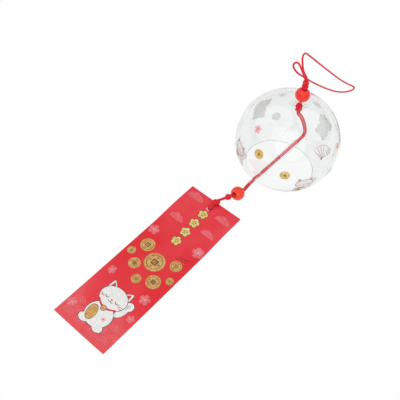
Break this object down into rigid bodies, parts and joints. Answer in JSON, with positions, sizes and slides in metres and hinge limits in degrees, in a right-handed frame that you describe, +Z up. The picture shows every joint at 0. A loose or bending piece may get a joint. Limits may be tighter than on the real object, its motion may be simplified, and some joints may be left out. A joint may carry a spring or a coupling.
{
  "type": "glass wind bell",
  "caption": "Clear glass ball wind bell on a red cord with beads, a glass tube clapper and a printed paper strip, set down on its open mouth with its hanging loop laid behind.",
  "frame": {"origin": "on the table, under the middle of the part's footprint without the free cord", "axes": "+Z up from the table, +X from the strip's far end towards the bell, +Y across the strip"},
  "size_m": [0.326, 0.0802, 0.0985],
  "materials": {
    "bell_glass": "clear blown glass with small painted motifs",
    "tube_glass": "clear drawn glass tube",
    "red_cord": "twisted red cord",
    "top_bead": "glossy red bead",
    "lower_bead": "glossy orange-red bead",
    "printed_paper": "smooth printed card"
  },
  "bodies": {
    "bell": {"glass_bell": "bell_glass", "neck_strands": "red_cord", "inner_knot": "red_cord", "top_knot": "red_cord", "second_knot": "red_cord"},
    "loop": {"hanging_loop": "red_cord"},
    "top_bead": {"top_bead": "top_bead"},
    "clapper": {"clapper_strand_left": "red_cord", "clapper_strand_right": "red_cord"},
    "tube": {"clapper_tube": "tube_glass"},
    "tail": {"tail_strand_left": "red_cord", "tail_strand_right": "red_cord", "bead_knot": "red_cord"},
    "lower_bead": {"lower_bead": "lower_bead"},
    "link": {"link_cord": "red_cord"},
    "strip": {"paper_strip": "printed_paper", "strip_knot": "red_cord", "tie_strand_left": "red_cord", "tie_strand_right": "red_cord", "cut_end": "red_cord"}
  },
  "joints": [
    {"name": "loop_swing", "type": "hinge", "parent": "bell", "child": "loop", "pos_m": [0.09024, -0.00261, 0.09072], "axis": [0, -1, 0], "range_deg": [0, 110]},
    {"name": "top_bead_spin", "type": "hinge", "parent": "bell", "child": "top_bead", "pos_m": [0.08947, -0.00231, 0.07644], "axis": [0.133, -0.0511, 0.9898], "continuous": true},
    {"name": "clapper_swing", "type": "hinge", "parent": "bell", "child": "clapper", "pos_m": [0.08823, -0.00183, 0.05842], "axis": [-0.5398, -0.814, 0.2146], "range_deg": [0, 20]},
    {"name": "tube_spin", "type": "hinge", "parent": "clapper", "child": "tube", "pos_m": [0.0504, 0.0083, 0.00171], "axis": [0.7138, -0.3074, 0.6293], "continuous": true},
    {"name": "tail_lift", "type": "hinge", "parent": "clapper", "child": "tail", "pos_m": [0.04947, 0.0087, 0.00089], "axis": [0, 1, 0], "range_deg": [-35, 35]},
    {"name": "lower_bead_spin", "type": "hinge", "parent": "tail", "child": "lower_bead", "pos_m": [0.03447, 0.0075, 0.0055], "axis": [-0.8702, 0.05, 0.4901], "continuous": true},
    {"name": "strip_turn", "type": "hinge", "parent": "tail", "child": "link", "pos_m": [0.02344, 0.01209, 0.00606], "axis": [-0.5504, 0.6917, -0.4676], "continuous": true},
    {"name": "strip_flap", "type": "hinge", "parent": "link", "child": "strip", "pos_m": [0.02167, 0.01432, 0.00455], "axis": [0, 1, 0], "range_deg": [-60, 60]}
  ]
}
